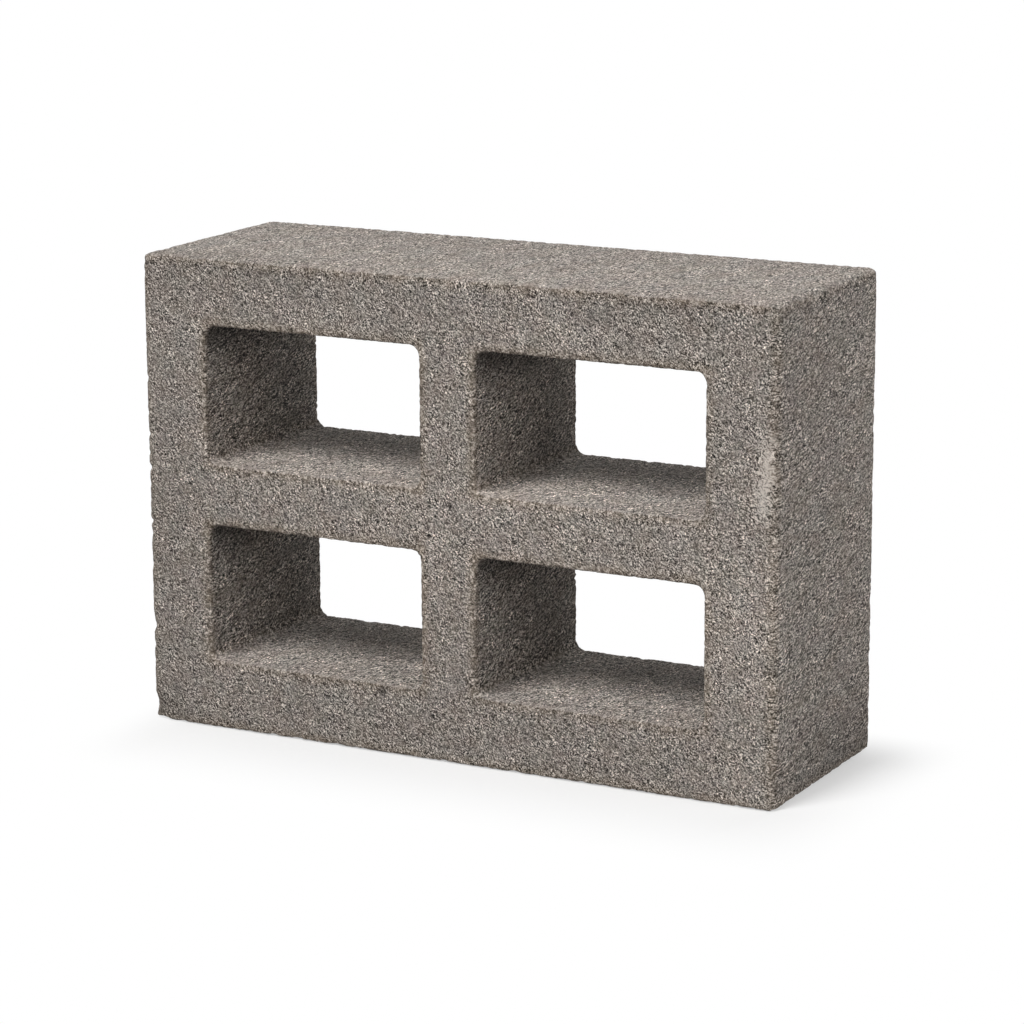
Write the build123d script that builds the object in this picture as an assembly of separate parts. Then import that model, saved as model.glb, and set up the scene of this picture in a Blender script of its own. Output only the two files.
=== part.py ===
from build123d import *

import os

# The block as it stands on one of its long narrow sides, with its cells facing front and back:
# length runs along X, depth along Y and height along Z. The front is the side at -Y.
block_length = 390.0
block_depth = 135.0
block_height = 271.0

# The mould's tapered cores leave every wall thicker at the front face than at the back face.
# The shell is the wall below the lower cells. The upper cells mirror the lower ones about the level
# web, which lies a shade above the middle of the block.
end_wall_front = 41.5
end_wall_back = 33.5
shell_front = 40.0
shell_back = 34.0
upright_web_front = 34.3
upright_web_back = 21.5
level_web_front = 35.3
level_web_back = 27.9
level_web_rise = 0.75
level_web_height = block_height / 2 + level_web_rise

# The rounded edges: outside arrises, the crisper long arrises of the top, the cells' inside
# corners and the rims of the cells' mouths.
arris_radius = 5.5
top_arris_radius = 3.0
cell_corner_radius = 6.0
mouth_radius = 1.5

front_y = -block_depth / 2
back_y = block_depth / 2


def rounded_body():
    """The block's outside, with every arris rounded and the long top ones less than the rest."""
    body = Box(
        block_length, block_depth, block_height, align=(Align.CENTER, Align.CENTER, Align.MIN)
    )
    long_top_edges = body.edges().filter_by(Axis.X).group_by(Axis.Z)[-1]
    body = fillet(body.edges() - long_top_edges, arris_radius)
    long_top_edges = body.edges().filter_by(Axis.X).group_by(Axis.Z)[-1]
    return fillet(long_top_edges, top_arris_radius)


def lower_right_core():
    """The core that leaves the lower right cell: its plan and its side view both narrow to the front."""
    plan = Polygon(
        (upright_web_front / 2, front_y),
        (block_length / 2 - end_wall_front, front_y),
        (block_length / 2 - end_wall_back, back_y),
        (upright_web_back / 2, back_y),
        align=None,
    )
    side_view = Polygon(
        (front_y, shell_front),
        (back_y, shell_back),
        (back_y, level_web_height - level_web_back / 2),
        (front_y, level_web_height - level_web_front / 2),
        align=None,
    )
    core = extrude(plan, block_height) & extrude(Plane.YZ * side_view, block_length)
    long_edges = core.edges().filter_by_position(Axis.Y, front_y, back_y, inclusive=(False, False))
    return fillet(long_edges, cell_corner_radius)


def cell_cores():
    """All the cores of the mould, which mirror each other left to right and top to bottom."""
    lower_right = lower_right_core()
    lower = lower_right + mirror(lower_right, about=Plane.YZ)
    return lower + mirror(lower, about=Plane.XY.offset(level_web_height))


def mouth_edges(block):
    """The edges where the cells open into the front and back faces."""
    faces = block.faces().sort_by(Axis.Y)
    rims = faces[0].inner_wires() + faces[-1].inner_wires()
    return rims.edges()


def moulded_block():
    """The whole block: the body less its cells, with rounded mouths."""
    block = rounded_body() - cell_cores()
    return fillet(mouth_edges(block), mouth_radius)


os.makedirs("parts", exist_ok=True)
concrete_block = moulded_block()
concrete_block.label = "concrete_block"
export_step(concrete_block, "parts/concrete_block.step")
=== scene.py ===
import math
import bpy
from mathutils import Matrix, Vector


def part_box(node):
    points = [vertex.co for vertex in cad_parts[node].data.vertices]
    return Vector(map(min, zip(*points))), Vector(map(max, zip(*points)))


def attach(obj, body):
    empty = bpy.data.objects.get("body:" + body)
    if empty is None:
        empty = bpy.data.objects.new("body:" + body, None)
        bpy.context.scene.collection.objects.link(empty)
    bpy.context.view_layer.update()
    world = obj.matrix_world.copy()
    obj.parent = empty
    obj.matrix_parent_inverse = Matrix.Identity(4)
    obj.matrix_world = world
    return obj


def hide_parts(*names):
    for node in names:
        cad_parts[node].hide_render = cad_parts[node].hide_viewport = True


bl_info = {
    "name": "Hollow Concrete Block",
    "version": (1, 0, 0),
    "blender": (4, 5, 0),
    "location": "View3D > Sidebar > Concrete Block",
    "description": "Models a moulded hollow concrete block with an open-textured surface in a plain studio",
    "category": "Add Mesh",
}

import bmesh
import bpy
from mathutils import Quaternion, Vector

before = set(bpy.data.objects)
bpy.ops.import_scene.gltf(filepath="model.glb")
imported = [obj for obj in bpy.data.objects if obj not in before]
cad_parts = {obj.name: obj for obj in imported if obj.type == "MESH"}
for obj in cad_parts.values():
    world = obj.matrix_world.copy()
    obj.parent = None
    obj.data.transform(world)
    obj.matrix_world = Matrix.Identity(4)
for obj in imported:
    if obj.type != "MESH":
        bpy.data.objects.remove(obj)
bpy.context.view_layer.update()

NODE = "concrete_block"
MM = 0.001
block_low, block_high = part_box(NODE)
block_middle = (block_low + block_high) / 2
half_length, half_depth, half_height = (block_high - block_low) / 2

# Edges that turn by more than this are arrises and rims.
SHARP = math.radians(50)
# Grain patterns are turned by these angles, so that no face of the block lies along their lattice.
GRAIN_TURN = (0.65, 0.37, 0.93)


def linear(hex_colour):
    """An sRGB hex colour such as 8c857d as linear red, green and blue."""
    parts = [int(hex_colour[i : i + 2], 16) / 255 for i in (0, 2, 4)]
    return tuple(c / 12.92 if c <= 0.04045 else ((c + 0.055) / 1.055) ** 2.4 for c in parts)


def length(name, description, millimetres):
    """A size that a user may change, in metres."""
    return bpy.props.FloatProperty(
        name=name, description=description, default=millimetres * MM, unit="LENGTH", precision=4
    )


def colour(name, description, hex_colour):
    """A colour that a user may change."""
    return bpy.props.FloatVectorProperty(
        name=name, description=description, default=linear(hex_colour), subtype="COLOR", size=3,
        min=0.0, max=1.0,
    )


class ConcreteBlockSizes(bpy.types.PropertyGroup):
    """The moulded shape: walls round the cells, rounded edges and how fine the mesh is."""

    end_wall_front: length("End Wall, Front", "Thickness of the end walls at the front face", 41.5)
    end_wall_back: length("End Wall, Back", "Thickness of the end walls at the back face", 33.5)
    shell_front: length("Shell, Front", "Thickness below the lower cells at the front face", 40.0)
    shell_back: length("Shell, Back", "Thickness below the lower cells at the back face", 34.0)
    upright_web_front: length("Upright Web, Front", "Thickness of the upright web at the front", 34.3)
    upright_web_back: length("Upright Web, Back", "Thickness of the upright web at the back", 21.5)
    level_web_front: length("Level Web, Front", "Thickness of the level web at the front", 35.3)
    level_web_back: length("Level Web, Back", "Thickness of the level web at the back", 27.9)
    level_web_height: length("Level Web Height", "Height of the middle of the level web", 136.25)
    arris_radius: length("Arris Radius", "Rounding of the outside edges", 5.5)
    crisp_arris_radius: length(
        "Crisp Arris Radius", "Rounding of the top's long edges and the foot's edges", 2.2
    )
    cell_corner_radius: length("Cell Corner Radius", "Rounding of the cells' inside corners", 6.0)
    mouth_radius: length("Mouth Radius", "Rounding of the cells' rims", 1.5)
    voxel: length("Voxel", "Mesh pitch at which the relief is pressed in", 1.2)
    triangles: bpy.props.IntProperty(
        name="Triangles", description="Most triangles the finished block may have", default=190000
    )


class ConcreteFinish(bpy.types.PropertyGroup):
    """The colours of open-textured concrete."""

    bare_grain: colour("Bare Grain", "Grains that stick out and have lost their paste", "87817b")
    brown_rim: colour("Brown Rim", "Rims and arrises where brown fines gathered", "84735f")
    green_paste: colour("Green Paste", "Cement paste with a faint green cast", "817e76")
    pink_paste: colour("Pink Paste", "Cement paste with a faint pink cast", "887b74")
    blue_paste: colour("Blue Paste", "Cement paste with a faint blue cast", "837d7a")
    buff_paste: colour("Buff Paste", "Cement paste with a faint yellow cast", "867c72")


class BlockStudio(bpy.types.PropertyGroup):
    """The floor, the lights and the camera."""

    paper: colour("Paper", "The pale floor", "c9c9c9")
    shade: bpy.props.FloatProperty(
        name="Shade", description="How much of the block's shade shows on the floor", default=0.56,
        subtype="FACTOR", min=0.0, max=1.0,
    )
    key_power: bpy.props.FloatProperty(
        name="Key Light", description="Power of the light above the front", default=40.8, unit="POWER"
    )
    right_power: bpy.props.FloatProperty(
        name="Right Light", description="Power of the light on the right", default=13.6, unit="POWER"
    )
    back_power: bpy.props.FloatProperty(
        name="Back Light", description="Power of the light behind", default=8.2, unit="POWER"
    )
    left_power: bpy.props.FloatProperty(
        name="Left Light", description="Power of the light on the left", default=3.3, unit="POWER"
    )
    lens: bpy.props.FloatProperty(
        name="Lens", description="Focal length of the camera", default=126.2, subtype="DISTANCE_CAMERA"
    )


def node(tree, kind, settings=None, inputs=None):
    """Adds a node with its settings, and feeds its inputs from sockets or with plain values."""
    made = tree.nodes.new(kind)
    for name, value in (settings or {}).items():
        setattr(made, name, value)
    for name, value in (inputs or {}).items():
        if isinstance(value, bpy.types.NodeSocket):
            tree.links.new(value, made.inputs[name])
        else:
            made.inputs[name].default_value = value
    return made


def pick(kind, test):
    """In edit mode, selects only the vertices, edges or faces that pass a test of their place."""
    mesh = bpy.context.edit_object.data
    bpy.ops.mesh.select_mode(type=kind)
    bpy.ops.mesh.select_all(action="DESELECT")
    shape = bmesh.from_edit_mesh(mesh)
    for part in {"VERT": shape.verts, "EDGE": shape.edges, "FACE": shape.faces}[kind]:
        if test(part):
            part.select_set(True)
    bmesh.update_edit_mesh(mesh)


def near(a, b):
    return abs(a - b) < 0.01 * MM


def middle_of(edge):
    return (edge.verts[0].co + edge.verts[1].co) / 2


def cell_walls(sizes):
    """Where each wall of the cells lies at the front and at the back: across the block, and up it."""
    web = (sizes.upright_web_front / 2, sizes.upright_web_back / 2)
    end = (half_length - sizes.end_wall_front, half_length - sizes.end_wall_back)
    across = [
        [block_middle.x + side * place for place in wall]
        for side, wall in ((-1, end), (-1, web), (1, web), (1, end))
    ]
    middle = sizes.level_web_height
    sill = (sizes.shell_front, sizes.shell_back)
    lintel = (middle - sizes.level_web_front / 2, middle - sizes.level_web_back / 2)
    up = [[block_low.z + place for place in wall] for wall in (sill, lintel)]
    up += [[block_low.z + 2 * middle - place for place in wall] for wall in (lintel, sill)]
    return {0: across, 2: up}


def cut_cells(sizes):
    """Cuts the four tapered cells through the solid box that is open in edit mode."""
    walls = cell_walls(sizes)
    for axis in (0, 2):
        facing = Vector((0, 0, 0))
        facing[axis] = 1.0
        for front, _ in walls[axis]:
            bpy.ops.mesh.select_all(action="SELECT")
            bpy.ops.mesh.bisect(plane_co=front * facing, plane_no=facing, use_fill=False)

    def in_cell(point):
        return all(
            any(low[0] < point[axis] < high[0] for low, high in (walls[axis][:2], walls[axis][2:]))
            for axis in (0, 2)
        )

    pick("FACE", lambda face: abs(face.normal.y) > 0.9 and in_cell(face.calc_center_median()))
    bpy.ops.mesh.delete(type="FACE")

    # The back rims move out to their wider places.
    for axis in (0, 2):
        for front, back in walls[axis]:
            pick(
                "VERT",
                lambda v: near(v.co.y, block_high.y)
                and near(v.co[axis], front)
                and any(e.is_boundary for e in v.link_edges),
            )
            move = Vector((0, 0, 0))
            move[axis] = back - front
            bpy.ops.transform.translate(value=move)

    for column in (-1, 1):
        for row in (-1, 1):
            pick(
                "EDGE",
                lambda e: e.is_boundary
                and (middle_of(e).x - block_middle.x) * column > 0
                and (middle_of(e).z - block_low.z - sizes.level_web_height) * row > 0,
            )
            bpy.ops.mesh.bridge_edge_loops()


def round_edges(sizes):
    """Rounds the cells' inside corners and then the rims, and marks how far the arrises are rounded."""

    def inside(edge):
        point = middle_of(edge) - block_middle
        return abs(point.x) < half_length - 1 * MM and abs(point.z) < half_height - 1 * MM

    def runs_back(edge):
        along = edge.verts[1].co - edge.verts[0].co
        return abs(along.y) > half_depth

    def sharp(edge):
        return edge.is_manifold and edge.calc_face_angle() > SHARP

    def crisp(edge):
        along = edge.verts[1].co - edge.verts[0].co
        long_top = near(middle_of(edge).z, block_high.z) and near(along.y, 0) and near(along.z, 0)
        return long_top or near(middle_of(edge).z, block_low.z)

    pick("EDGE", lambda e: inside(e) and runs_back(e))
    bpy.ops.mesh.bevel(offset=sizes.cell_corner_radius, segments=5, affect="EDGES")
    pick("EDGE", lambda e: inside(e) and sharp(e))
    bpy.ops.mesh.bevel(offset=sizes.mouth_radius, segments=3, affect="EDGES")
    pick("EDGE", lambda e: not inside(e) and sharp(e) and crisp(e))
    bpy.ops.transform.edge_bevelweight(value=sizes.crisp_arris_radius / sizes.arris_radius)
    pick("EDGE", lambda e: not inside(e) and sharp(e) and not crisp(e))
    bpy.ops.transform.edge_bevelweight(value=1.0)


def keep_sharp_edges():
    """Leaves only the lines of the arrises and rims of the shape that is open in edit mode."""
    pick("EDGE", lambda e: e.calc_face_angle() < SHARP)
    bpy.ops.mesh.delete(type="EDGE_FACE")
    pick("FACE", lambda face: True)
    bpy.ops.mesh.delete(type="ONLY_FACE")


# Dents on the arrises: middle, reach and depth in millimetres.
DENTS = (
    ((-195, -67.5, 8), 9, 2.6),
    ((-190, -67.5, 0), 8, 1.6),
    ((8, -67.5, 271), 11, 1.8),
    ((-60, -67.5, 271), 8, 1.2),
    ((195, -67.5, 268), 12, 1.5),
    ((-130, -67.5, 271), 9, 1.0),
    ((120, -67.5, 271), 10, 1.2),
)


def surface_tree(name, arris_lines):
    """A new tree of geometry nodes for the block's surface, with the values that every such tree needs.

    Gives the tree, its incoming geometry, the distance to the nearest arris or rim, and the distances
    from the block's middle along each axis."""
    tree = bpy.data.node_groups.new(name, "GeometryNodeTree")
    for way in ("INPUT", "OUTPUT"):
        tree.interface.new_socket("Geometry", in_out=way, socket_type="NodeSocketGeometry")
    surface = node(tree, "NodeGroupInput").outputs["Geometry"]
    lines = node(tree, "GeometryNodeObjectInfo", None, {"Object": arris_lines}).outputs["Geometry"]
    away_from_arris = node(
        tree, "GeometryNodeProximity", {"target_element": "EDGES"}, {"Geometry": lines}
    ).outputs["Distance"]
    place = node(tree, "GeometryNodeInputPosition").outputs["Position"]
    from_middle = node(
        tree, "ShaderNodeVectorMath", {"operation": "SUBTRACT"}, {0: place, 1: block_middle}
    ).outputs[0]
    from_middle = node(tree, "ShaderNodeVectorMath", {"operation": "ABSOLUTE"}, {0: from_middle}).outputs[0]
    from_middle = node(tree, "ShaderNodeSeparateXYZ", None, {"Vector": from_middle}).outputs
    return tree, surface, away_from_arris, from_middle


def well_inside(tree, from_middle, axes, shallow, deep):
    """A mask that is 0 up to a shallow distance below the block's outer faces and 1 from a deep one."""
    mask = 1.0
    half = {"X": half_length, "Y": half_depth, "Z": half_height}
    for axis in axes:
        inner = node(
            tree, "ShaderNodeMapRange", None,
            {"Value": from_middle[axis], "From Min": half[axis] - shallow, "From Max": half[axis] - deep},
        ).outputs[0]
        mask = node(tree, "ShaderNodeMath", {"operation": "MULTIPLY"}, {0: inner, 1: mask}).outputs[0]
    return mask


def cast_relief(arris_lines):
    """Geometry nodes that press grains, gaps and chips into the surface, deeper along the arrises."""
    tree, surface, away_from_arris, from_middle = surface_tree("Cast Relief", arris_lines)
    place = node(tree, "GeometryNodeInputPosition").outputs["Position"]
    normal = node(tree, "GeometryNodeInputNormal").outputs["Normal"]
    edge = node(
        tree, "ShaderNodeMapRange", {"interpolation_type": "SMOOTHSTEP"},
        {"Value": away_from_arris, "From Min": 9 * MM, "From Max": 2 * MM},
    ).outputs[0]
    turned = node(
        tree, "ShaderNodeVectorRotate", {"rotation_type": "EULER_XYZ"},
        {"Vector": place, "Rotation": GRAIN_TURN},
    ).outputs["Vector"]
    # How far a point belongs to the cells rather than to the outside.
    in_cell = well_inside(tree, from_middle, "XZ", 12 * MM, 20 * MM)

    # Grains of 2.6 mm as domes: the further from a grain's middle, the deeper. Some are lost.
    warp = node(tree, "ShaderNodeTexNoise", None, {"Vector": turned, "Scale": 1 / (3 * MM), "Detail": 0.0})
    bent = node(
        tree, "ShaderNodeVectorMath", {"operation": "MULTIPLY_ADD"},
        {0: warp.outputs["Color"], 1: (1.2 * MM,) * 3, 2: turned},
    ).outputs[0]
    grain = node(tree, "ShaderNodeTexVoronoi", None, {"Vector": bent, "Scale": 1 / (2.6 * MM)})
    gap = node(
        tree, "ShaderNodeMath", {"operation": "POWER"}, {0: grain.outputs["Distance"], 1: 2.0}
    ).outputs[0]
    lost = node(
        tree, "ShaderNodeMapRange", {"interpolation_type": "SMOOTHSTEP"},
        {"Value": grain.outputs["Color"], "From Min": 0.6, "From Max": 0.85, "To Max": 0.9},
    ).outputs[0]
    rough = node(tree, "ShaderNodeMath", {"operation": "ADD"}, {0: gap, 1: lost}).outputs[0]
    # The rims at the back, where the cores were drawn, are the roughest.
    forward = node(tree, "ShaderNodeSeparateXYZ", None, {"Vector": place}).outputs["Y"]
    forward = node(
        tree, "ShaderNodeMapRange", None,
        {"Value": forward, "From Min": block_high.y, "From Max": block_low.y},
    ).outputs[0]
    torn = node(tree, "ShaderNodeMath", {"operation": "SUBTRACT"}, {0: 1.0, 1: forward}).outputs[0]
    torn = node(tree, "ShaderNodeMath", {"operation": "MULTIPLY"}, {0: torn, 1: in_cell}).outputs[0]
    torn = node(
        tree, "ShaderNodeMath", {"operation": "MULTIPLY_ADD"}, {0: torn, 1: 0.45 * MM, 2: 0.36 * MM}
    ).outputs[0]
    reach = node(
        tree, "ShaderNodeMapRange", None, {"Value": edge, "To Min": 0.12 * MM, "To Max": torn}
    ).outputs[0]
    depth = node(tree, "ShaderNodeMath", {"operation": "MULTIPLY"}, {0: rough, 1: reach}).outputs[0]

    # Slow unevenness of the pressed faces.
    uneven = node(
        tree, "ShaderNodeTexNoise", None, {"Vector": turned, "Scale": 1 / (22 * MM), "Detail": 1.0}
    ).outputs["Fac"]
    depth = node(
        tree, "ShaderNodeMath", {"operation": "MULTIPLY_ADD"}, {0: uneven, 1: 0.2 * MM, 2: depth}
    ).outputs[0]

    # Chips along the outside arrises, the more the nearer the front, shallow ones at the top and foot.
    chip = node(
        tree, "ShaderNodeTexNoise", None, {"Vector": turned, "Scale": 1 / (8 * MM), "Detail": 1.0}
    ).outputs["Fac"]
    chip = node(
        tree, "ShaderNodeMapRange", {"interpolation_type": "SMOOTHSTEP"},
        {"Value": chip, "From Min": 0.52, "From Max": 0.72, "To Max": 1.3 * MM},
    ).outputs[0]
    outside = node(tree, "ShaderNodeMath", {"operation": "SUBTRACT"}, {0: 1.0, 1: in_cell}).outputs[0]
    forward = node(
        tree, "ShaderNodeMath", {"operation": "MULTIPLY_ADD"}, {0: forward, 1: 0.8, 2: 0.4}
    ).outputs[0]
    shallow = node(
        tree, "ShaderNodeMapRange", None,
        {
            "Value": from_middle["Z"], "From Min": half_height - 14 * MM, "From Max": half_height - 5 * MM,
            "To Min": 1.0, "To Max": 0.4,
        },
    ).outputs[0]
    for share in (outside, forward, shallow):
        chip = node(tree, "ShaderNodeMath", {"operation": "MULTIPLY"}, {0: chip, 1: share}).outputs[0]
    depth = node(
        tree, "ShaderNodeMath", {"operation": "MULTIPLY_ADD"}, {0: chip, 1: edge, 2: depth}
    ).outputs[0]
    for middle, reach, dent in DENTS:
        away = node(
            tree, "ShaderNodeVectorMath", {"operation": "DISTANCE"}, {0: place, 1: Vector(middle) * MM}
        ).outputs["Value"]
        dent = node(
            tree, "ShaderNodeMapRange", {"interpolation_type": "SMOOTHSTEP"},
            {"Value": away, "From Min": reach * MM, "From Max": 0.0, "To Max": dent * MM},
        ).outputs[0]
        depth = node(tree, "ShaderNodeMath", {"operation": "ADD"}, {0: depth, 1: dent}).outputs[0]

    # The cells' walls keep their mean place, so the grains stand out into the cells as well.
    facing = node(tree, "ShaderNodeSeparateXYZ", None, {"Vector": normal}).outputs["Y"]
    facing = node(tree, "ShaderNodeMath", {"operation": "ABSOLUTE"}, {0: facing}).outputs[0]
    facing = node(
        tree, "ShaderNodeMapRange", None, {"Value": facing, "From Min": 0.95, "From Max": 0.5}
    ).outputs[0]
    proud = node(tree, "ShaderNodeMath", {"operation": "MULTIPLY"}, {0: facing, 1: in_cell}).outputs[0]
    proud = node(tree, "ShaderNodeMath", {"operation": "MULTIPLY"}, {0: proud, 1: 0.2 * MM}).outputs[0]
    depth = node(tree, "ShaderNodeMath", {"operation": "SUBTRACT"}, {0: proud, 1: depth}).outputs[0]
    offset = node(
        tree, "ShaderNodeVectorMath", {"operation": "SCALE"}, {0: normal, "Scale": depth}
    ).outputs[0]
    moved = node(
        tree, "GeometryNodeSetPosition", None, {"Geometry": surface, "Offset": offset}
    ).outputs["Geometry"]
    # Flat places may be thinned more than the arrises.
    flat = node(
        tree, "ShaderNodeMapRange", None, {"Value": away_from_arris, "From Min": 3 * MM, "From Max": 6 * MM}
    ).outputs[0]
    marked = node(
        tree, "GeometryNodeStoreNamedAttribute", {"data_type": "FLOAT", "domain": "POINT"},
        {"Geometry": moved, "Name": "flat", "Value": flat},
    ).outputs["Geometry"]
    node(tree, "NodeGroupOutput", None, {"Geometry": marked})
    return tree


def note_places(arris_lines):
    """Geometry nodes that note how far each point lies from an arris or rim, and whether in a cell."""
    tree, surface, away_from_arris, from_middle = surface_tree("Places", arris_lines)
    in_cell = well_inside(tree, from_middle, "XYZ", 1 * MM, 5 * MM)
    for name, value in (("arris_distance", away_from_arris), ("in_cell", in_cell)):
        surface = node(
            tree, "GeometryNodeStoreNamedAttribute", {"data_type": "FLOAT", "domain": "POINT"},
            {"Geometry": surface, "Name": name, "Value": value},
        ).outputs["Geometry"]
    node(tree, "NodeGroupOutput", None, {"Geometry": surface})
    return tree


def lay_out(block, sizes):
    """Unfolds the outside and the cells' walls onto a flat map in rows, each straight from its own side."""
    mesh = block.data
    flat_map = mesh.uv_layers.new(name="OFBake")
    walls = cell_walls(sizes)

    def side_of(point):
        """The axis that a point's side of the block or of a cell faces along, and which side it is."""
        found = []
        for axis in range(3):
            found.append((abs(point[axis] - block_low[axis]), axis, "low"))
            found.append((abs(point[axis] - block_high[axis]), axis, "high"))
        share = (point.y - block_low.y) / (2 * half_depth)
        cell = []
        for axis in (0, 2):
            places = [front + share * (back - front) for front, back in walls[axis]]
            for low, high in (places[:2], places[2:]):
                if low - 2 * MM < point[axis] < high + 2 * MM:
                    cell += [(abs(point[axis] - low), axis, low), (abs(point[axis] - high), axis, high)]
        if len(cell) == 4:
            column, row = point.x > block_middle.x, point.z > block_low.z + sizes.level_web_height
            found += [(away, axis, (column, row, place > point[axis])) for away, axis, place in cell]
        return min(found, key=lambda side: side[0])[1:]

    corners = {}
    for face in mesh.polygons:
        side = side_of(face.center)
        across, up = {0: (2, 1), 1: (0, 2), 2: (0, 1)}[side[0]]
        for loop in face.loop_indices:
            point = mesh.vertices[mesh.loops[loop].vertex_index].co
            corners.setdefault(side, []).append((loop, point[across], point[up]))

    # Each side goes into the first row of its height that has room, the widest sides first. The map is
    # square, and wide enough for all the rows to fit its height.
    map_width, gap = 890 * MM, 4 * MM
    width = {side: max(c[1] for c in found) - min(c[1] for c in found) for side, found in corners.items()}
    rows, foot = [], gap
    for side in sorted(corners, key=lambda side: (side[0] != 1, -width[side], str(side))):
        height = 2 * (half_height if side[0] == 1 else half_depth)
        row = next((r for r in rows if r[0] == height and r[1] + width[side] + gap <= map_width), None)
        if row is None:
            row = [height, gap, foot]
            rows.append(row)
            foot += height + gap
        left = row[1] - min(c[1] for c in corners[side])
        bottom = row[2] - min(c[2] for c in corners[side])
        row[1] += width[side] + gap
        for loop, across, up in corners[side]:
            flat_map.data[loop].uv = ((left + across) / map_width, (bottom + up) / map_width)


def apply_modifier(piece, name, kind, **settings):
    """Adds a modifier with its settings and applies it."""
    modifier = piece.modifiers.new(name, kind)
    for setting, value in settings.items():
        setattr(modifier, setting, value)
    bpy.ops.object.modifier_apply(modifier=modifier.name)


# Scuffs on the right-hand front arris: middle and reach in millimetres.
SCUFFS = (
    ((189.5, -67.5, 188), (5, 7, 19)),
    ((187, -67.5, 170), (6.5, 7, 14)),
)

# Places of another tone, partly the concrete's own and partly painted light and shade that follow how the
# light falls across the block: middle and reach in millimetres, and how many times as pale.
TONE_AND_LIGHT_PATCHES = (
    ((175, -67.5, 95), (60, 40, 80), 1.17),
    ((185, -67.5, 12), (45, 40, 36), 1.14),
    ((20, -67.5, 115), (150, 40, 60), 1.1),
    ((0, -67.5, 268), (280, 40, 26), 0.94),
    ((-150, -67.5, 264), (100, 40, 30), 0.9),
    ((125, -67.5, 266), (75, 40, 26), 0.9),
    ((-190, -67.5, 5), (40, 40, 25), 0.82),
    ((-187, -67.5, 135), (42, 40, 190), 0.93),
    ((195, 0, 0), (14, 130, 48), 0.82),
    ((0, 67.5, 271), (280, 90, 30), 0.94),
    ((30, -67.5, 271), (230, 45, 9), 1.1),
    ((195, 60, 190), (20, 70, 130), 1.09),
    ((0, -45, 152), (190, 50, 10), 1.12),
    ((-41.8, -67.5, 36.4), (4.5, 4.5, 4.5), 0.45),
    ((-86.4, -67.5, 35.8), (2.2, 2.2, 2.2), 1.6),
)


# Sizes of the concrete's patterns. Its finest grit is under 0.3 mm, which is too fine to show in the
# render, so it is drawn as coarse as it needs to show.
SAND_GRAIN = 1.15 * MM
STROKE_PITCH = 1.9 * MM
GRIT = 0.65 * MM
WORN_GRAIN = 2.2 * MM
HOLLOW = 4 * MM
COARSE_PATCH = 9 * MM
CAST_PATCH = 14 * MM
# The darkest that a seam, partly painted shade, or a painted hollow shadow gets, as a share of the paste's
# tone to the eye.
DARKEST = 0.15


def share_of_reach(tree, place, middle, reach):
    """How far a point lies from a middle, as a share of a reach along each axis, both in millimetres."""
    away = node(
        tree, "ShaderNodeVectorMath", {"operation": "SUBTRACT"}, {0: place, 1: Vector(middle) * MM}
    ).outputs[0]
    away = node(
        tree, "ShaderNodeVectorMath", {"operation": "DIVIDE"}, {0: away, 1: Vector(reach) * MM}
    ).outputs[0]
    return node(tree, "ShaderNodeVectorMath", {"operation": "LENGTH"}, {0: away}).outputs["Value"]


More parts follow.
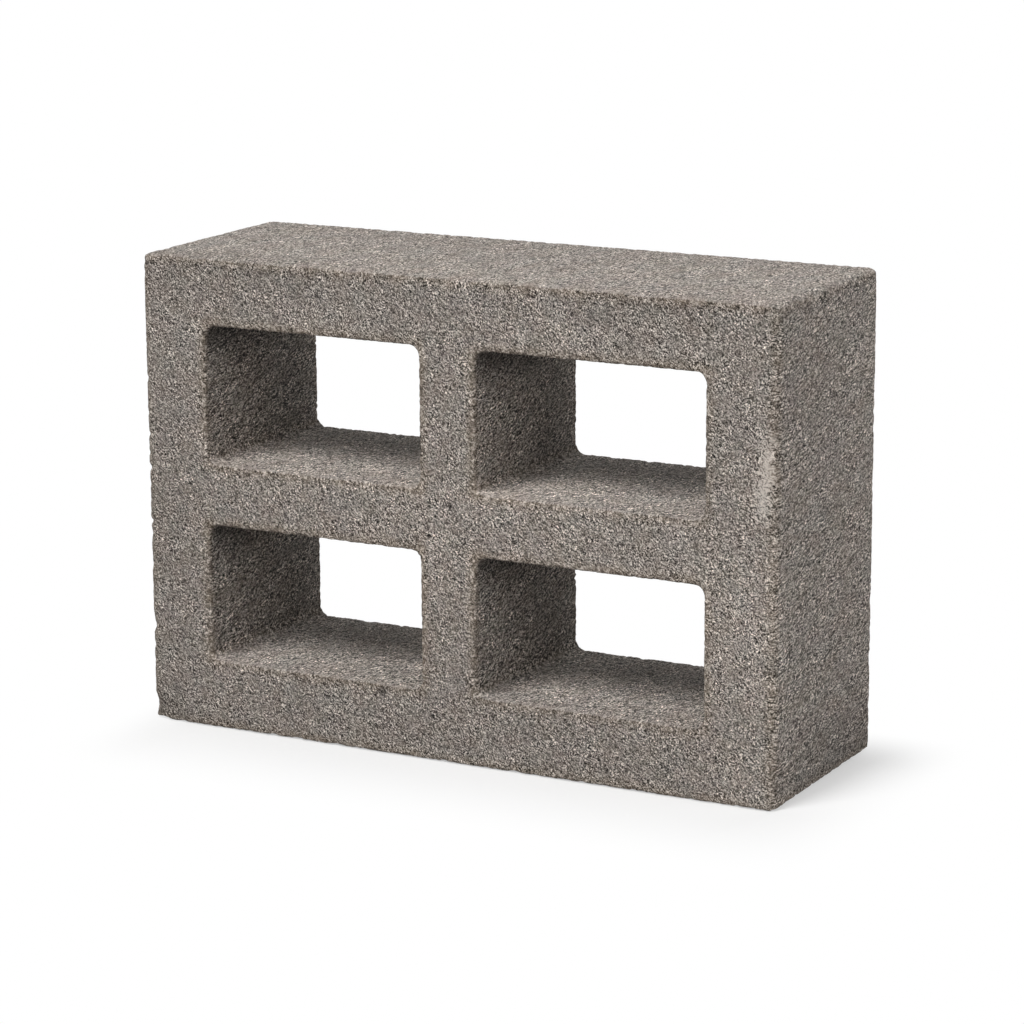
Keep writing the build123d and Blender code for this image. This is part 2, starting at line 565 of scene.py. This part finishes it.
def concrete(finish, ceilings):
    """Open-textured concrete, pressed dry in a mould: small pale grains with dark seams between them, the
    seams partly painted shade.
    """
    material = bpy.data.materials.new("open_textured_concrete")
    material.use_nodes = True
    tree = material.node_tree
    shader = tree.nodes["Principled BSDF"]
    place = node(tree, "ShaderNodeTexCoord").outputs["Object"]
    across, _, height = node(tree, "ShaderNodeSeparateXYZ", None, {"Vector": place}).outputs
    facing = node(tree, "ShaderNodeNewGeometry").outputs["Normal"]
    facing = node(tree, "ShaderNodeSeparateXYZ", None, {"Vector": facing}).outputs["Z"]
    away_from_arris = node(tree, "ShaderNodeAttribute", {"attribute_name": "arris_distance"}).outputs["Fac"]
    in_cell = node(tree, "ShaderNodeAttribute", {"attribute_name": "in_cell"}).outputs["Fac"]
    # Grains are drawn out along the depth, the way the block was pushed from its mould.
    drawn = node(
        tree, "ShaderNodeVectorMath", {"operation": "MULTIPLY"}, {0: place, 1: (1.0, 0.45, 1.0)}
    ).outputs["Vector"]
    turned = node(
        tree, "ShaderNodeVectorRotate", {"rotation_type": "EULER_XYZ"},
        {"Vector": drawn, "Rotation": GRAIN_TURN},
    ).outputs["Vector"]

    # Sand grains pressed against the mould, some smeared into short curling strokes: the surface looks
    # combed in no one direction, with thin dark seams that are partly painted shade between the grains.
    sand_and_seam_shade = node(
        tree, "ShaderNodeTexNoise", None,
        {"Vector": turned, "Scale": 1 / SAND_GRAIN, "Detail": 0.0, "Distortion": 1.4},
    ).outputs["Fac"]
    sand_and_seam_shade = node(
        tree, "ShaderNodeMath", {"operation": "MULTIPLY_ADD"}, {0: sand_and_seam_shade, 1: 1.25, 2: -0.625}
    ).outputs[0]
    strokes = node(
        tree, "ShaderNodeTexWave", None,
        {
            "Vector": turned, "Scale": math.pi / (10 * STROKE_PITCH), "Distortion": 12.0,
            "Detail": 1.0, "Detail Scale": 1.6,
        },
    ).outputs["Fac"]
    sand_and_seam_shade = node(
        tree, "ShaderNodeMath", {"operation": "MULTIPLY_ADD"}, {0: strokes, 1: 0.5, 2: sand_and_seam_shade}
    ).outputs[0]
    sand_and_seam_shade = node(tree, "ShaderNodeMath", {"operation": "SUBTRACT"}, {0: sand_and_seam_shade, 1: 0.25}).outputs[0]
    # Finer grit catches the light speck by speck.
    grit = node(
        tree, "ShaderNodeTexNoise", None,
        {"Vector": turned, "Scale": 1 / GRIT, "Detail": 0.0, "Distortion": 0.3},
    ).outputs["Fac"]
    # Calm patches, where paste filled the gaps, lie between coarse ones.
    coarse = node(
        tree, "ShaderNodeTexNoise", None, {"Vector": turned, "Scale": 1 / COARSE_PATCH, "Detail": 1.0}
    ).outputs["Fac"]
    coarse = node(
        tree, "ShaderNodeMapRange", None,
        {"Value": coarse, "From Min": 0.35, "From Max": 0.65, "To Min": 0.75, "To Max": 1.25},
    ).outputs[0]
    # Paste that cured unevenly: faint pink, green, buff and blue casts.
    cast = node(
        tree, "ShaderNodeTexNoise", None,
        {"Vector": turned, "Scale": 1 / CAST_PATCH, "Detail": 2.0, "Roughness": 0.7},
    ).outputs["Color"]
    cast = node(tree, "ShaderNodeSeparateColor", None, {"Color": cast})
    pastes = []
    for channel, low, high in (
        ("Red", finish.green_paste, finish.pink_paste), ("Green", finish.blue_paste, finish.buff_paste)
    ):
        share = node(
            tree, "ShaderNodeMapRange", None,
            {"Value": cast.outputs[channel], "From Min": 0.35, "From Max": 0.65},
        ).outputs[0]
        pastes.append(
            node(
                tree, "ShaderNodeMix", {"data_type": "RGBA"},
                {"Factor": share, "A": (*low, 1), "B": (*high, 1)},
            ).outputs["Result"]
        )
    paste = node(
        tree, "ShaderNodeMix", {"data_type": "RGBA"}, {"Factor": 0.5, "A": pastes[0], "B": pastes[1]}
    ).outputs["Result"]

    # Brown fines gather on the rims and arrises of upright faces. Level faces have lips there.
    rim = node(
        tree, "ShaderNodeMapRange", {"interpolation_type": "SMOOTHSTEP"},
        {"Value": away_from_arris, "From Min": 8 * MM, "From Max": 1 * MM, "To Max": 0.8},
    ).outputs[0]
    at_arris = node(
        tree, "ShaderNodeMapRange", {"interpolation_type": "SMOOTHSTEP"},
        {"Value": away_from_arris, "From Min": 4 * MM, "From Max": 1.5 * MM},
    ).outputs[0]
    level = node(
        tree, "ShaderNodeMapRange", {"interpolation_type": "SMOOTHSTEP"},
        {"Value": facing, "From Min": 0.4, "From Max": 0.9},
    ).outputs[0]
    upright = node(tree, "ShaderNodeMath", {"operation": "SUBTRACT"}, {0: 1.0, 1: level}).outputs[0]
    lip = node(tree, "ShaderNodeMath", {"operation": "MULTIPLY"}, {0: rim, 1: level}).outputs[0]
    brown = cast.outputs["Blue"]
    for share in (rim, upright):
        brown = node(tree, "ShaderNodeMath", {"operation": "MULTIPLY"}, {0: brown, 1: share}).outputs[0]
    paste = node(
        tree, "ShaderNodeMix", {"data_type": "RGBA"},
        {"Factor": brown, "A": paste, "B": (*finish.brown_rim, 1)},
    ).outputs["Result"]

    # Grains and grit lighten and darken the paste evenly to the eye, so as a power of 2.2.
    light = node(
        tree, "ShaderNodeMath", {"operation": "MULTIPLY_ADD"}, {0: grit, 1: 1.7, 2: -0.85}
    ).outputs[0]
    light = node(tree, "ShaderNodeMath", {"operation": "ADD"}, {0: light, 1: sand_and_seam_shade}).outputs[0]
    # The walls of the cells are rougher than the outside.
    torn = node(
        tree, "ShaderNodeMath", {"operation": "MULTIPLY_ADD"}, {0: in_cell, 1: 0.2, 2: 1.0}
    ).outputs[0]
    light = node(tree, "ShaderNodeMath", {"operation": "MULTIPLY"}, {0: light, 1: torn}).outputs[0]
    # Level faces are rubbed calm along their lips, and arrises a little.
    for share, calm in ((lip, 0.4), (at_arris, 0.2)):
        calm = node(
            tree, "ShaderNodeMapRange", None, {"Value": share, "To Min": 1.0, "To Max": 1.0 - calm}
        ).outputs[0]
        light = node(tree, "ShaderNodeMath", {"operation": "MULTIPLY"}, {0: light, 1: calm}).outputs[0]
    light = node(
        tree, "ShaderNodeMath", {"operation": "MULTIPLY_ADD"}, {0: light, 1: coarse, 2: 1.0}
    ).outputs[0]
    light = node(tree, "ShaderNodeMath", {"operation": "MAXIMUM"}, {0: light, 1: DARKEST}).outputs[0]
    # Painted shadow: dark spots on the upright faces just below the top's arrises stand in for the shade in
    # hollows where grains broke out.
    hollow = node(
        tree, "ShaderNodeTexNoise", None, {"Vector": place, "Scale": 1 / HOLLOW, "Detail": 1.0}
    ).outputs["Fac"]
    hollow = node(
        tree, "ShaderNodeMapRange", {"interpolation_type": "SMOOTHSTEP"},
        {"Value": hollow, "From Min": 0.52, "From Max": 0.66, "To Max": 0.28},
    ).outputs[0]
    beside_arris = node(
        tree, "ShaderNodeMapRange", {"interpolation_type": "SMOOTHSTEP"},
        {"Value": away_from_arris, "From Min": 9 * MM, "From Max": 4 * MM},
    ).outputs[0]
    near_top = node(
        tree, "ShaderNodeMapRange", None,
        {"Value": height, "From Min": block_high.z - 12 * MM, "From Max": block_high.z - 8 * MM},
    ).outputs[0]
    for share in (beside_arris, near_top, upright):
        hollow = node(tree, "ShaderNodeMath", {"operation": "MULTIPLY"}, {0: hollow, 1: share}).outputs[0]
    light = node(tree, "ShaderNodeMath", {"operation": "SUBTRACT"}, {0: light, 1: hollow}).outputs[0]
    light = node(tree, "ShaderNodeMath", {"operation": "MAXIMUM"}, {0: light, 1: DARKEST}).outputs[0]
    # Lips are a shade paler.
    light = node(
        tree, "ShaderNodeMath", {"operation": "MULTIPLY_ADD"}, {0: lip, 1: 0.07, 2: light}
    ).outputs[0]
    # Single grains on the arrises are worn pale, most of all round the mouths of the cells. There the
    # paste between them is dark.
    worn = node(
        tree, "ShaderNodeTexNoise", None, {"Vector": turned, "Scale": 1 / WORN_GRAIN, "Detail": 0.0}
    ).outputs["Fac"]
    worn = node(
        tree, "ShaderNodeMapRange", {"interpolation_type": "SMOOTHSTEP"},
        {"Value": worn, "From Min": 0.5, "From Max": 0.62},
    ).outputs[0]
    across = node(
        tree, "ShaderNodeMath", {"operation": "SUBTRACT"}, {0: across, 1: block_middle.x}
    ).outputs[0]
    across = node(tree, "ShaderNodeMath", {"operation": "ABSOLUTE"}, {0: across}).outputs[0]
    mouth = node(
        tree, "ShaderNodeMapRange", None,
        {"Value": across, "From Min": half_length - 15 * MM, "From Max": half_length - 20 * MM},
    ).outputs[0]
    below_top = node(tree, "ShaderNodeMath", {"operation": "SUBTRACT"}, {0: 1.0, 1: near_top}).outputs[0]
    for share in (below_top, upright):
        mouth = node(tree, "ShaderNodeMath", {"operation": "MULTIPLY"}, {0: mouth, 1: share}).outputs[0]
    at_mouth = node(
        tree, "ShaderNodeMapRange", None, {"Value": worn, "To Min": -0.13, "To Max": 0.2}
    ).outputs[0]
    worn = node(tree, "ShaderNodeMath", {"operation": "MULTIPLY"}, {0: worn, 1: 0.06}).outputs[0]
    worn = node(tree, "ShaderNodeMix", None, {"Factor": mouth, "A": worn, "B": at_mouth}).outputs["Result"]
    worn = node(tree, "ShaderNodeMath", {"operation": "MULTIPLY"}, {0: worn, 1: at_arris}).outputs[0]
    light = node(tree, "ShaderNodeMath", {"operation": "ADD"}, {0: light, 1: worn}).outputs[0]
    # Scuffs are rubbed down to one pale tone.
    for middle, reach in SCUFFS:
        away = share_of_reach(tree, place, middle, reach)
        away = node(tree, "ShaderNodeMath", {"operation": "SUBTRACT"}, {0: away, 1: sand_and_seam_shade}).outputs[0]
        rubbed = node(
            tree, "ShaderNodeMapRange", {"interpolation_type": "SMOOTHSTEP"},
            {"Value": away, "From Min": 1.3, "From Max": 0.3, "To Max": 0.62},
        ).outputs[0]
        light = node(
            tree, "ShaderNodeMix", None, {"Factor": rubbed, "A": light, "B": 1.62}
        ).outputs["Result"]
    # Grains that stick out are bare stone, greyer than the paste in the seams.
    bare = node(
        tree, "ShaderNodeMapRange", None, {"Value": light, "From Min": 0.9, "From Max": 1.4, "To Max": 0.8}
    ).outputs[0]
    paste = node(
        tree, "ShaderNodeMix", {"data_type": "RGBA"},
        {"Factor": bare, "A": paste, "B": (*finish.bare_grain, 1)},
    ).outputs["Result"]
    light = node(tree, "ShaderNodeMath", {"operation": "POWER"}, {0: light, 1: 2.2}).outputs[0]

    # Places painted paler or darker, with ragged edges: partly the concrete's own tone, partly painted
    # light and shade.
    for middle, reach, factor in TONE_AND_LIGHT_PATCHES:
        away = share_of_reach(tree, place, middle, reach)
        away = node(
            tree, "ShaderNodeMath", {"operation": "MULTIPLY_ADD"}, {0: coarse, 1: 0.5, 2: away}
        ).outputs[0]
        tone_and_light_patch = node(
            tree, "ShaderNodeMapRange", {"interpolation_type": "SMOOTHSTEP"},
            {"Value": away, "From Min": 1.5, "From Max": 0.8, "To Min": 1.0, "To Max": factor},
        ).outputs[0]
        light = node(tree, "ShaderNodeMath", {"operation": "MULTIPLY"}, {0: light, 1: tone_and_light_patch}).outputs[0]

    # Painted shade: inside the cells the walls darken toward the ceilings, where little light reaches the
    # corners.
    for ceiling in ceilings:
        below = node(tree, "ShaderNodeMath", {"operation": "SUBTRACT"}, {0: height, 1: ceiling}).outputs[0]
        below = node(tree, "ShaderNodeMath", {"operation": "ABSOLUTE"}, {0: below}).outputs[0]
        ceiling_shade = node(
            tree, "ShaderNodeMapRange", {"interpolation_type": "SMOOTHSTEP"},
            {"Value": below, "From Min": 28 * MM, "From Max": 3 * MM, "To Max": 0.65},
        ).outputs[0]
        ceiling_shade = node(tree, "ShaderNodeMath", {"operation": "MULTIPLY"}, {0: ceiling_shade, 1: in_cell}).outputs[0]
        ceiling_shade = node(tree, "ShaderNodeMath", {"operation": "SUBTRACT"}, {0: 1.0, 1: ceiling_shade}).outputs[0]
        light = node(tree, "ShaderNodeMath", {"operation": "MULTIPLY"}, {0: light, 1: ceiling_shade}).outputs[0]

    # Painted light: faces that look up are made paler, as if they caught more light from above.
    up_facing_light = node(
        tree, "ShaderNodeMapRange", {"interpolation_type": "SMOOTHSTEP"},
        {"Value": facing, "From Min": 0.5, "From Max": 0.95, "To Min": 1.0, "To Max": 1.17},
    ).outputs[0]
    light = node(tree, "ShaderNodeMath", {"operation": "MULTIPLY"}, {0: light, 1: up_facing_light}).outputs[0]
    tone = node(
        tree, "ShaderNodeVectorMath", {"operation": "SCALE"}, {0: paste, "Scale": light}
    ).outputs[0]
    tree.links.new(tone, shader.inputs["Base Color"])
    bump = node(tree, "ShaderNodeBump", None, {"Height": sand_and_seam_shade, "Distance": 0.1 * MM}).outputs["Normal"]
    tree.links.new(bump, shader.inputs["Normal"])
    shader.inputs["Roughness"].default_value = 0.92
    shader.inputs["Specular IOR Level"].default_value = 0.25
    return material


class MESH_OT_concrete_block_add(bpy.types.Operator):
    """Model the moulded concrete block and give it its finish"""

    bl_idname = "mesh.concrete_block_add"
    bl_label = "Concrete Block"

    def execute(self, context):
        sizes = context.scene.concrete_block_sizes
        bpy.ops.object.select_all(action="DESELECT")
        bpy.ops.mesh.primitive_cube_add(size=1.0, location=block_middle)
        block = context.active_object
        block.name = "moulded_block"
        block.scale = block_high - block_low
        bpy.ops.object.transform_apply(location=True, rotation=True, scale=True)
        bpy.ops.object.mode_set(mode="EDIT")
        cut_cells(sizes)
        bpy.ops.object.mode_set(mode="OBJECT")

        bpy.ops.object.duplicate()
        arris_lines = context.active_object
        bpy.ops.object.mode_set(mode="EDIT")
        keep_sharp_edges()
        bpy.ops.object.mode_set(mode="OBJECT")

        bpy.ops.object.select_all(action="DESELECT")
        block.select_set(True)
        context.view_layer.objects.active = block
        bpy.ops.object.mode_set(mode="EDIT")
        round_edges(sizes)
        bpy.ops.mesh.select_all(action="SELECT")
        bpy.ops.mesh.normals_make_consistent(inside=False)
        bpy.ops.object.mode_set(mode="OBJECT")
        apply_modifier(
            block, "Arris Rounding", "BEVEL", width=sizes.arris_radius, segments=5, limit_method="WEIGHT"
        )
        apply_modifier(block, "Fine Mesh", "REMESH", mode="VOXEL", voxel_size=sizes.voxel)
        # The relief notes in this group which places are flat and may be thinned more.
        block.vertex_groups.new(name="flat")
        apply_modifier(block, "Relief", "NODES", node_group=cast_relief(arris_lines))
        count = sum(len(p.vertices) - 2 for p in block.data.polygons)
        apply_modifier(
            block, "Thin", "DECIMATE", ratio=min(1.0, sizes.triangles / count),
            use_collapse_triangulate=True, vertex_group="flat", vertex_group_factor=0.05,
        )
        block.vertex_groups.clear()
        apply_modifier(block, "Places", "NODES", node_group=note_places(arris_lines))
        bpy.data.objects.remove(arris_lines)
        lay_out(block, sizes)
        bpy.ops.object.shade_smooth()
        # The heights of the upper walls of both rows of cells, at the front, toward which shade is painted.
        ceilings = [front for front, _ in cell_walls(sizes)[2][1::2]]
        block.data.materials.append(concrete(context.scene.concrete_finish, ceilings))
        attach(block, "root")
        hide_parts(NODE)
        return {"FINISHED"}


# The camera: the point it looks at, how far off it stands, its angles to the right of the front and above
# the floor in degrees, and its roll.
CAMERA_TARGET = Vector((4.16 * MM, 0.0, 128.75 * MM))
CAMERA_DISTANCE = 2005.9 * MM
CAMERA_ANGLES = (28.006, 13.229)
CAMERA_ROLL = math.radians(-0.274)


def aim(thing, target, roll=0.0):
    """Turns a lamp or a camera to look at a point."""
    turn = (target - thing.location).to_track_quat("-Z", "Y")
    thing.rotation_mode = "QUATERNION"
    thing.rotation_quaternion = turn @ Quaternion((0, 0, 1), roll)


def toward(azimuth, elevation):
    """The direction at an angle to the right of the front and an angle above the floor, in degrees."""
    azimuth, elevation = math.radians(azimuth), math.radians(elevation)
    level = math.cos(elevation)
    return Vector((math.sin(azimuth) * level, -math.cos(azimuth) * level, math.sin(elevation)))


def soft_light(name, azimuth, elevation, distance, width, height, power):
    """A rectangular soft light that faces the block."""
    lamp = bpy.data.lights.new(name, "AREA")
    lamp.shape = "RECTANGLE"
    lamp.size = width
    lamp.size_y = height
    lamp.energy = power
    light = bpy.data.objects.new(name, lamp)
    bpy.context.scene.collection.objects.link(light)
    light.location = block_middle + distance * toward(azimuth, elevation)
    aim(light, block_middle)


def looked_at(tree):
    """1 for what the camera sees, straight on or in a reflection or glass, and 0 for other rays."""
    rays = node(tree, "ShaderNodeLightPath")
    seen = rays.outputs["Is Camera Ray"]
    for ray in ("Is Glossy Ray", "Is Transmission Ray"):
        seen = node(
            tree, "ShaderNodeMath", {"operation": "MAXIMUM"}, {0: seen, 1: rays.outputs[ray]}
        ).outputs[0]
    return seen


def paper_floor(studio):
    """Matt white paper under and behind the block. The camera sees its shade only close to the block."""
    bpy.ops.object.select_all(action="DESELECT")
    bpy.ops.mesh.primitive_plane_add(size=30.0, location=(0, 0, block_low.z))
    floor = bpy.context.active_object
    floor.name = "paper_floor"
    material = bpy.data.materials.new("white_paper")
    material.use_nodes = True
    tree = material.node_tree
    tree.nodes.clear()
    place = node(
        tree, "ShaderNodeSeparateXYZ", None, {"Vector": node(tree, "ShaderNodeTexCoord").outputs["Object"]}
    )
    # On each side of the block the shade fades out from an inner line to an outer one.
    shade = studio.shade
    for axis, outer, inner in (
        ("X", 255 * MM, 190 * MM),
        ("X", -215 * MM, -165 * MM),
        ("Y", -165 * MM, -62 * MM),
        ("Y", 98 * MM, 35 * MM),
    ):
        fade = node(
            tree, "ShaderNodeMapRange", {"interpolation_type": "SMOOTHSTEP"},
            {"Value": place.outputs[axis], "From Min": outer, "From Max": inner},
        ).outputs[0]
        shade = node(tree, "ShaderNodeMath", {"operation": "MULTIPLY"}, {0: fade, 1: shade}).outputs[0]
    shaded = node(
        tree, "ShaderNodeMixShader", None,
        {
            "Fac": shade,
            1: node(tree, "ShaderNodeEmission").outputs["Emission"],
            2: node(tree, "ShaderNodeBsdfDiffuse", None, {"Color": (0.95, 0.95, 0.95, 1)}).outputs["BSDF"],
        },
    ).outputs["Shader"]
    paper = node(
        tree, "ShaderNodeMixShader", None,
        {
            "Fac": looked_at(tree),
            1: node(tree, "ShaderNodeBsdfDiffuse", None, {"Color": (*studio.paper, 1)}).outputs["BSDF"],
            2: shaded,
        },
    ).outputs["Shader"]
    node(tree, "ShaderNodeOutputMaterial", None, {"Surface": paper})
    floor.data.materials.append(material)


def white_room():
    """A world that is white to look at and gives no light of its own."""
    world = bpy.data.worlds.new("white_room")
    world.use_nodes = True
    tree = world.node_tree
    background = tree.nodes["Background"]
    background.inputs["Color"].default_value = (1, 1, 1, 1)
    tree.links.new(looked_at(tree), background.inputs["Strength"])
    return world


class SCENE_OT_block_studio_add(bpy.types.Operator):
    """Set up the pale floor, the soft lights and the camera"""

    bl_idname = "scene.block_studio_add"
    bl_label = "Studio"

    def execute(self, context):
        scene = context.scene
        studio = scene.block_studio
        scene.view_settings.view_transform = "Standard"
        paper_floor(studio)
        scene.world = white_room()
        # Each light's two angles in degrees, its distance, width and height in metres, and its power.
        soft_light("key_light", -15, 51, 2.2, 0.8, 0.86, studio.key_power)
        soft_light("right_light", 75, 20, 1.8, 1.9, 0.8, studio.right_power)
        soft_light("back_light", 178, 28, 1.8, 1.3, 0.8, studio.back_power)
        soft_light("left_light", -105, 20, 1.8, 0.8, 0.8, studio.left_power)
        lens = bpy.data.cameras.new("photo_camera")
        lens.lens = studio.lens
        camera = bpy.data.objects.new("photo_camera", lens)
        scene.collection.objects.link(camera)
        camera.location = CAMERA_TARGET + CAMERA_DISTANCE * toward(*CAMERA_ANGLES)
        aim(camera, CAMERA_TARGET, CAMERA_ROLL)
        scene.camera = camera
        return {"FINISHED"}


class VIEW3D_PT_concrete_block(bpy.types.Panel):
    """The sidebar tab with the block's settings"""

    bl_label = "Concrete Block"
    bl_space_type = "VIEW_3D"
    bl_region_type = "UI"
    bl_category = "Concrete Block"

    def draw(self, context):
        for group, operator in (
            (context.scene.concrete_block_sizes, MESH_OT_concrete_block_add),
            (context.scene.concrete_finish, None),
            (context.scene.block_studio, SCENE_OT_block_studio_add),
        ):
            box = self.layout.box()
            for name in group.__annotations__:
                box.prop(group, name)
            if operator:
                box.operator(operator.bl_idname)


classes = (
    ConcreteBlockSizes,
    ConcreteFinish,
    BlockStudio,
    MESH_OT_concrete_block_add,
    SCENE_OT_block_studio_add,
    VIEW3D_PT_concrete_block,
)


def register():
    for cls in classes:
        bpy.utils.register_class(cls)
    bpy.types.Scene.concrete_block_sizes = bpy.props.PointerProperty(type=ConcreteBlockSizes)
    bpy.types.Scene.concrete_finish = bpy.props.PointerProperty(type=ConcreteFinish)
    bpy.types.Scene.block_studio = bpy.props.PointerProperty(type=BlockStudio)


def unregister():
    del bpy.types.Scene.block_studio
    del bpy.types.Scene.concrete_finish
    del bpy.types.Scene.concrete_block_sizes
    for cls in reversed(classes):
        bpy.utils.unregister_class(cls)


def main():
    register()
    bpy.ops.mesh.concrete_block_add()
    bpy.ops.scene.block_studio_add()


if __name__ == "__main__":
    main()
